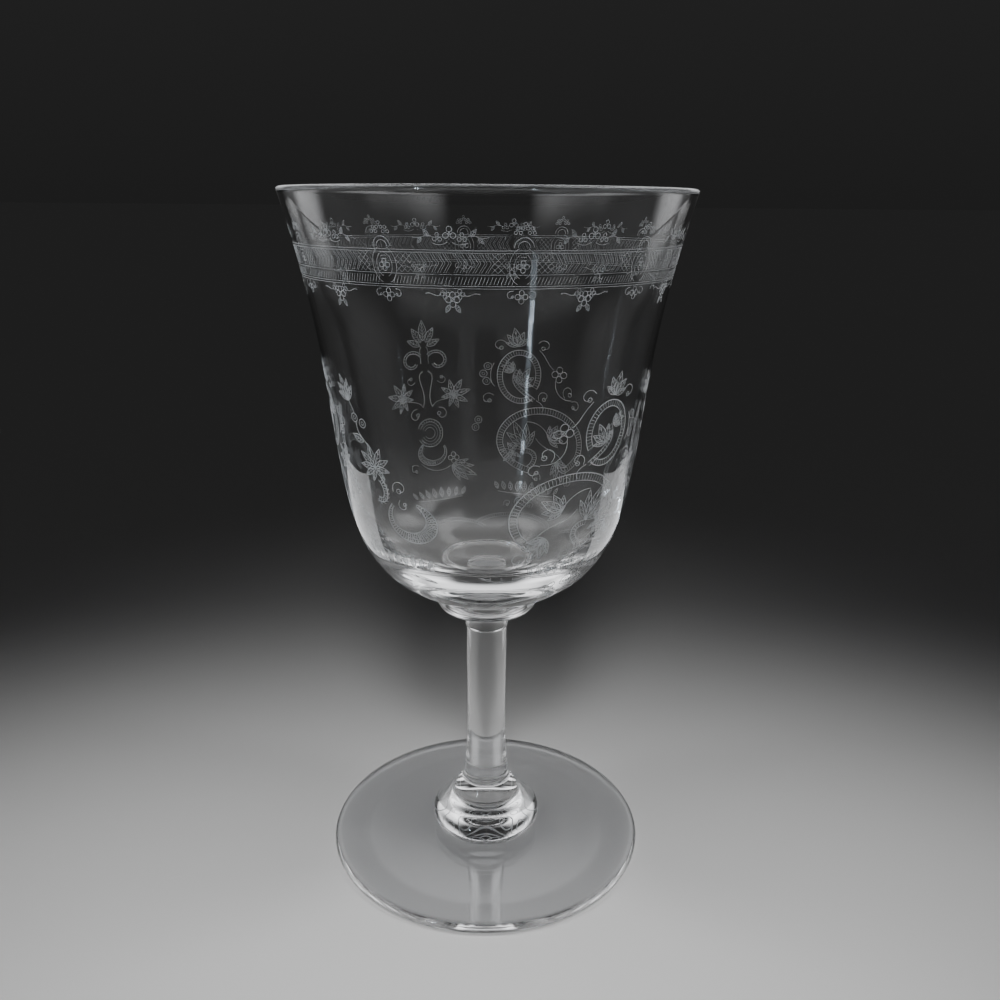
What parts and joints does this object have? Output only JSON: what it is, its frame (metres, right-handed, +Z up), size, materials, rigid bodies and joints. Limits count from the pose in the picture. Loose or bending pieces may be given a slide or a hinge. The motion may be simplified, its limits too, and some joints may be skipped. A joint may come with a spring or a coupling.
{
  "type": "wine glass",
  "caption": "Stemmed wine glass in clear crystal: flared tulip bowl on a merese, straight stem, button knop and flat round foot.",
  "frame": {"origin": "centre of the foot, on the plane that the glass rests on", "axes": "+Z up along the axis of revolution, from the foot to the rim; the bowl's pattern is turned so that -Y faces the viewer"},
  "size_m": [0.0808, 0.0808, 0.146],
  "materials": {
    "clear_crystal": "polished",
    "etched_crystal": "frosted"
  },
  "bodies": {
    "root": {"foot": "clear_crystal", "knop": "clear_crystal", "lower_collar": "clear_crystal", "stem": "clear_crystal", "neck_ring": "clear_crystal", "merese": "clear_crystal", "bowl": "clear_crystal"}
  },
  "joints": []
}
